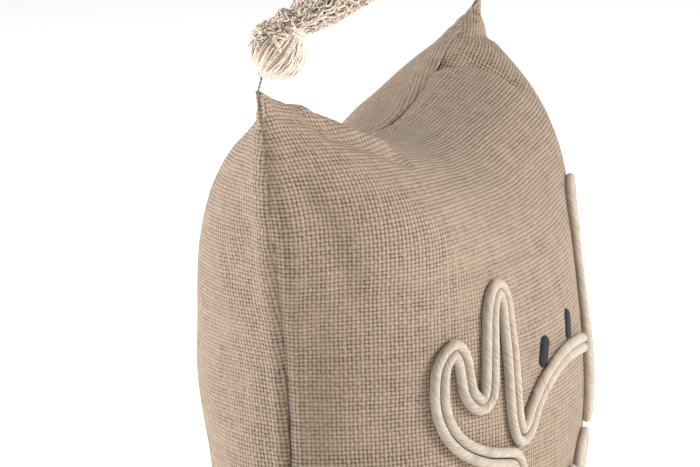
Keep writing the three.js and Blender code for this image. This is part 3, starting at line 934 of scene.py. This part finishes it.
def add_head(shape, knot, way, draw):
    first, second = side_ways(way)
    core = np.linspace(0, HEAD_LENGTH, 24)
    # the core under the bulb's yarns is darkened by its vertex colour: painted shade deep between the yarns
    add_tube(shape, knot + way * core[:, None], head_radius(core) * 0.92, 16, lean=first, tone_and_shade=0.6)
    for i in range(120):
        turn = 2 * math.pi * (i + draw.uniform(-0.4, 0.4)) / 120
        swirl, bow = draw.uniform(-0.35, 0.35), draw.uniform(-0.0006, 0.0010)
        t = np.linspace(0, 1, 18)
        along = t * HEAD_LENGTH
        angle = turn + swirl * t
        wave = 0.0005 * np.sin(t * draw.uniform(9, 22) + draw.uniform(0, 6))
        out = head_radius(along) * 0.97 + bow * np.sin(math.pi * t) + wave * np.sin(math.pi * t)
        line = around(knot + way * along[:, None], first, second, angle, out)
        add_tube(shape, line, 0.0005 * draw.uniform(0.7, 1.2), 5, tone_and_shade=draw.uniform(0.7, 1.0))


def add_binding(shape, knot, way):
    first, second = side_ways(way)
    t = np.linspace(0, 1, 140)
    angle = 2 * math.pi * 6 * t
    along = 0.0256 + 0.0042 * t
    out = 0.0070 + 0.0003 * np.sin(angle * 0.37)
    line = around(knot + way * along[:, None], first, second, angle, out)
    add_tube(shape, line, tapered(139, 0.00046, 0.02), 6, tone_and_shade=0.85)


def curl(start, way, spread_way, length, spread, draw, steps=64):
    """A curly yarn that leaves start along way and drifts sideways by spread."""
    first, second = side_ways(way)
    t = np.linspace(0, 1, steps)
    width = draw.uniform(0.0004, 0.0017)
    turns = draw.uniform(5.0, 12.0) * draw.choice((-1, 1))
    phase, slow = draw.uniform(0, 6.3), draw.uniform(2, 4)
    grow = np.clip(t * 7, 0, 1)
    kink = 0.4 * np.sin(t * slow * 3 + phase)
    angle = 2 * math.pi * turns * t + phase + kink
    bend = spread * (1 - (1 - t) ** 2.2)
    line = start + way * (t * length)[:, None] + spread_way * bend[:, None]
    line = around(line, first, second, angle, width * grow)
    line = line + way * (width * 0.8 * np.sin(angle * 1.7) * grow)[:, None]
    return line


def add_fallen(shape, knot, way, draw):
    """Yarns of the skirt that have fallen back over one side of the bulb."""
    first, second = side_ways(way)
    for _ in range(70):
        t = np.linspace(0, 1, 40)
        along = HEAD_LENGTH * (1.08 - t * draw.uniform(0.35, 0.85))
        angle = FALLEN_SIDE + draw.gauss(0, 0.55)
        angle = angle + 0.25 * np.sin(t * draw.uniform(5, 20) + draw.uniform(0, 6))
        out = head_radius(along) + 0.0008 + draw.uniform(0.001, 0.004) * np.sin(math.pi * np.sqrt(t))
        out = out + 0.0007 * np.sin(t * draw.uniform(25, 50) + draw.uniform(0, 6))
        line = around(knot + way * along[:, None], first, second, angle, out)
        radius = tapered(39, draw.uniform(0.00036, 0.0006), 0.08)
        add_tube(shape, line, radius, 4, tone_and_shade=draw.uniform(0.8, 1.0))


def add_skirt(shape, neck_end, way, draw, lowest):
    first, second = side_ways(way)
    t = np.linspace(0, 1, 30)
    middle = neck_end + way * (t * SKIRT_LENGTH * 0.8 - 0.003)[:, None]
    middle[:, 2] = np.maximum(middle[:, 2], lowest + 0.004)
    # the core inside the skirt is darkened the same way: painted shade between the curls
    add_tube(shape, middle, tapered(29, SKIRT_RADIUS * 0.55, 0.12), 14, lean=first, tone_and_shade=0.75)
    for i in range(190):
        turn = draw.uniform(0, 2 * math.pi)
        share = math.sqrt(draw.uniform(0.1, 1))
        sideways = first * math.cos(turn) + second * math.sin(turn)
        start = neck_end - way * 0.004 + sideways * share * 0.0062
        length = SKIRT_LENGTH * draw.uniform(0.62, 1.0)
        spread = share * SKIRT_RADIUS * draw.uniform(0.6, 1.0) - 0.003 * share
        line = curl(start, way, sideways, length, spread, draw)
        line[:, 2] = np.maximum(line[:, 2], lowest)
        steps = len(line) - 1
        radius = tapered(steps, draw.uniform(0.00036, 0.00060), 0.05)
        add_tube(shape, line, radius, 4, tone_and_shade=draw.uniform(0.7, 1.0))


def add_tie(shape, tip, knot, way, draw):
    first, second = side_ways(way)
    for phase in (0.0, math.pi):
        t = np.linspace(0, 1, 26)
        line = tip - way * 0.0012 + (knot - tip + way * 0.0022) * t[:, None]
        angle = 2 * math.pi * 2.5 * t + phase
        line = line + (first * np.cos(angle)[:, None] + second * np.sin(angle)[:, None]) * 0.00032
        add_tube(shape, line, 0.00034, 6, tone_and_shade=0.8)
    t = np.linspace(0, 1, 60)
    angle = 2 * math.pi * 3 * t
    ring = knot + way * (0.0006 * np.cos(angle * 0.5))[:, None]
    ring = ring + (first * np.cos(angle)[:, None] + second * np.sin(angle)[:, None]) * 0.0009
    add_tube(shape, ring, 0.0004, 6, tone_and_shade=0.7)
    bends = ((0, 0), (0.003, 0.001), (0.006, 0.005), (0.0065, 0.009))
    loose = smooth_line([knot + first * aside + way * up for aside, up in bends], 14)
    add_tube(shape, loose, tapered(14, 0.0003, 0.1), 5, tone_and_shade=0.6)


for corner_name, corner in CORNERS.items():
    draw = random.Random("tassel " + corner_name)
    tip, knot, neck_end, thread_way, head_way, skirt_way = tassel_places(corner)
    lowest = 0.0008 if corner[1] < 0 else -1.0
    label, body = f"tassel_{corner_name}", f"tassel_{corner_name}"
    head = tubes_mesh(label + "_head", lambda s: add_head(s, knot, head_way, draw))
    finished(f"yarn_{label}_head", head, body, tassel_yarn, [label + "_head"])
    binding = tubes_mesh(label + "_neck_binding", lambda s: add_binding(s, knot, head_way))
    finished(f"wound_{label}_binding", binding, body, tassel_yarn, [label + "_neck_binding"])
    def fill_skirt(shape):
        add_skirt(shape, neck_end, skirt_way, draw, lowest)
        if corner[1] > 0:
            add_fallen(shape, knot, head_way, draw)

    skirt = tubes_mesh(label + "_skirt", fill_skirt)
    finished(f"curled_{label}_skirt", skirt, body, tassel_yarn, [label + "_skirt"])
    tie = tubes_mesh(label + "_tie_thread", lambda s: add_tie(s, tip, knot, thread_way, draw))
    finished(
        f"knotted_{label}_tie", tie, f"thread_{corner_name}", tie_thread,
        [label + "_tie_thread"],
    )

# %% [markdown]
# ## The zip
# The zip is a nylon coil zip: two woven tapes, each with a spiral of nylon sewn along its edge, and a brass
# slider with a pull tab. The tapes, stops and slider keep their CAD shapes. The coils are replaced by real
# spirals whose turns mesh, which is what catches the light along a zip.

# %% The zip's line
TAPE_INSET = 0.0042
zip_middle = surface(0, level_at(np.array(0.0), ZIP_HEIGHT), 1, TAPE_INSET)
zip_end = surface(ZIP_REACH, level_at(np.array(ZIP_REACH), ZIP_HEIGHT), 1, TAPE_INSET)
zip_drop = zip_middle[1] - zip_end[1]
ZIP_RADIUS = (zip_end[0] ** 2 + zip_drop**2) / (2 * zip_drop)
ZIP_HALF = ZIP_RADIUS * math.asin(zip_end[0] / ZIP_RADIUS)
ZIP_CENTRE = zip_middle[1] - ZIP_RADIUS
COIL_RADIUS, COIL_PITCH, COIL_TURN = 0.00105, 0.0019, 0.0012


def along_zip(x, y, z):
    """From lengths along, up and out of the chain to the row's frame."""
    angle = x / ZIP_RADIUS
    out = ZIP_RADIUS + z
    return np.stack([-np.sin(angle) * out, ZIP_CENTRE + np.cos(angle) * out, ZIP_HEIGHT + y], -1)


def nylon_finish():
    f = Finish("zip_nylon")
    cloud = f.noise(f.node("TexCoord")["Object"], 300.0, 2.0)
    base = f.blend(cloud, colour(0.40, 0.30, 0.21), colour(0.50, 0.39, 0.28))
    return f.surface(base_color=base, roughness=0.42, coat_weight=0.1)


def add_coil(shape, side):
    half = ZIP_HALF - 0.005
    turns = round(2 * half / COIL_TURN)
    t = np.linspace(0, 1, turns * 8 + 1)
    angle = 2 * math.pi * turns * t + (0 if side > 0 else math.pi)
    x = (2 * t - 1) * half
    y = side * COIL_PITCH / 2 + np.cos(angle) * COIL_RADIUS * 1.15
    z = 0.0014 + np.sin(angle) * COIL_RADIUS * 0.85
    add_tube(shape, along_zip(x, y, z), 0.00030, 4)


nylon = nylon_finish()
for which, side in (("upper", 1), ("lower", -1)):
    coil = tubes_mesh(f"coil_{which}", lambda s: add_coil(s, side))
    finished(f"spiral_zip_coil_{which}", coil, "cushion", nylon, [f"zip_coil_{which}"])

# %% The zip's tapes and metal
def tape_finish():
    f = Finish("zip_twill")
    place = f.node("TexCoord")["Object"]
    parts = f.node("SeparateXYZ", {}, {0: place})
    twill = ((parts["X"] + parts["Z"]) * 5200.0).cosine()
    cloud = f.noise(place, 400.0, 2.0)
    # the twill's grooves are painted darker in the colour: painted shade from the twill's relief, over the
    # tape's own mottled tone
    base = f.blend(twill * 0.35 + cloud * 0.6, colour(0.36, 0.27, 0.19), colour(0.54, 0.42, 0.31))
    return f.surface(base_color=base, roughness=0.85, normal=f.bump(twill, 0.00015, 0.7))


def brass_finish():
    f = Finish("antique_brass")
    place = f.node("TexCoord")["Object"]
    tarnish = f.noise(place, 420.0, 4.0, 0.6)
    parts = f.node("SeparateXYZ", {}, {0: place})
    scratches = f.noise(f.vector(parts["X"] * 9000.0, parts["Z"] * 700.0), 1.0, 2.0)
    base = f.blend(tarnish.spread(0.35, 0.75), colour(0.55, 0.41, 0.20), colour(0.28, 0.20, 0.11))
    return f.surface(
        base_color=base,
        metallic=1.0,
        roughness=tarnish * 0.3 + 0.2,
        normal=f.bump(scratches, 0.00002, 0.5),
    )


def refinish(node, material):
    """Gives a CAD node another finish."""
    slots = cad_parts[node].data.materials
    slots.clear()
    slots.append(material)


brass, twill = brass_finish(), tape_finish()
for node in ("zip_tape_upper", "zip_tape_lower"):
    refinish(node, twill)
for node in ("zip_stop_left", "zip_stop_right", "zip_slider_body", "zip_slider_bail", "zip_pull_tab"):
    refinish(node, brass)
    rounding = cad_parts[node].modifiers.new("rounded edges", "BEVEL")
    rounding.width = 0.00025
    rounding.segments = 2
print("zip half length", round(ZIP_HALF * 1000, 1), "mm")

# %% [markdown]
# ## The last checks
# The visual model has to fill the same room as the CAD model, so both boxes are taken and the growth of each
# of their sides is printed.

# %% Sizes, and the end
VISUAL_BOX = [list(corner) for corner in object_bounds()]
sides = zip(CAD_BOX[0] + CAD_BOX[1], VISUAL_BOX[0] + VISUAL_BOX[1])
print("grown by", [round((visual - cad) * 1000, 1) for cad, visual in sides], "mm")
